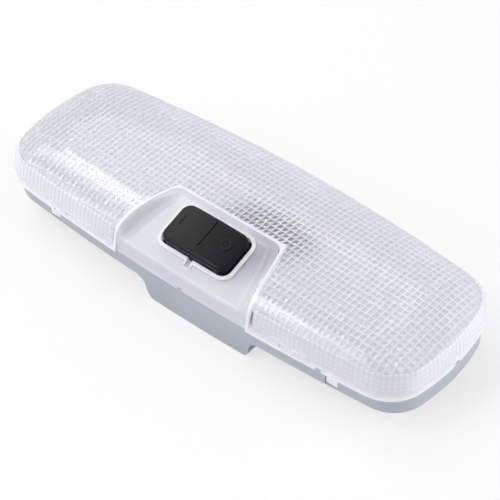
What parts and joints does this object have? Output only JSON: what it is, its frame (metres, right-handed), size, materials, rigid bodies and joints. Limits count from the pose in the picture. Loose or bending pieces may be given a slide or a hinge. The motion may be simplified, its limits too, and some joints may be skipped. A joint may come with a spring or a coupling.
{
  "type": "car dome light",
  "caption": "Long car dome lamp: clear prismatic lens over a grey moulded tray, with a milky front panel, a black rocker switch and a rear plug socket.",
  "frame": {"origin": "middle of the lens outline, on the plane of the flat bottom of the centre box", "axes": "+X along the lamp, -Y towards the switch side, +Z out through the lens"},
  "size_m": [0.194, 0.0714, 0.0353],
  "materials": {
    "lens_clear": "clear moulded polycarbonate with a prism grid",
    "panel_milky": "milky satin plastic",
    "housing_grey": "light grey moulded plastic",
    "rocker_black": "black satin plastic",
    "switch_black": "black moulded plastic",
    "brass": "stamped brass",
    "bulb_glass": "clear glass",
    "cap_plated": "nickel plated brass",
    "filament": "tungsten wire",
    "aluminium": "bright formed sheet",
    "spring_steel": "zinc plated spring steel"
  },
  "bodies": {
    "base": {"housing": "housing_grey", "lens": "lens_clear", "switch_panel": "panel_milky", "switch_body": "switch_black", "feed_strip": "brass", "courtesy_strip": "brass", "ground_strip": "brass", "common_strip": "brass", "bulb_envelope": "bulb_glass", "bulb_cap_left": "cap_plated", "bulb_cap_right": "cap_plated", "bulb_filament": "filament", "reflector": "aluminium", "roof_clip_left": "spring_steel", "roof_clip_right": "spring_steel"},
    "rocker": {"rocker": "rocker_black", "detent_spring": "spring_steel"},
    "plunger": {"detent_plunger": "spring_steel"},
    "contact": {"rocker_contact": "brass"}
  },
  "joints": [
    {"name": "rocker_tilt", "type": "hinge", "parent": "base", "child": "rocker", "pos_m": [0, -0.01826, 0.02491], "axis": [0, 0.9578, 0.2874], "range_deg": [-6, 6]},
    {"name": "plunger_slide", "type": "slide", "parent": "rocker", "child": "plunger", "axis": [0, -0.2874, 0.9578], "range_m": [0, 0.0008], "stiffness_N_per_m": 400, "springref_m": -0.001, "deforming": ["detent_spring"]},
    {"name": "contact_tilt", "type": "hinge", "parent": "base", "child": "contact", "pos_m": [0, -0.0154, 0.01538], "axis": [0, 0.9578, 0.2874], "range_deg": [-5, 5]}
  ],
  "couplings": [
    {"joint": "contact_tilt", "follows": "rocker_tilt", "ratio": -0.8}
  ]
}
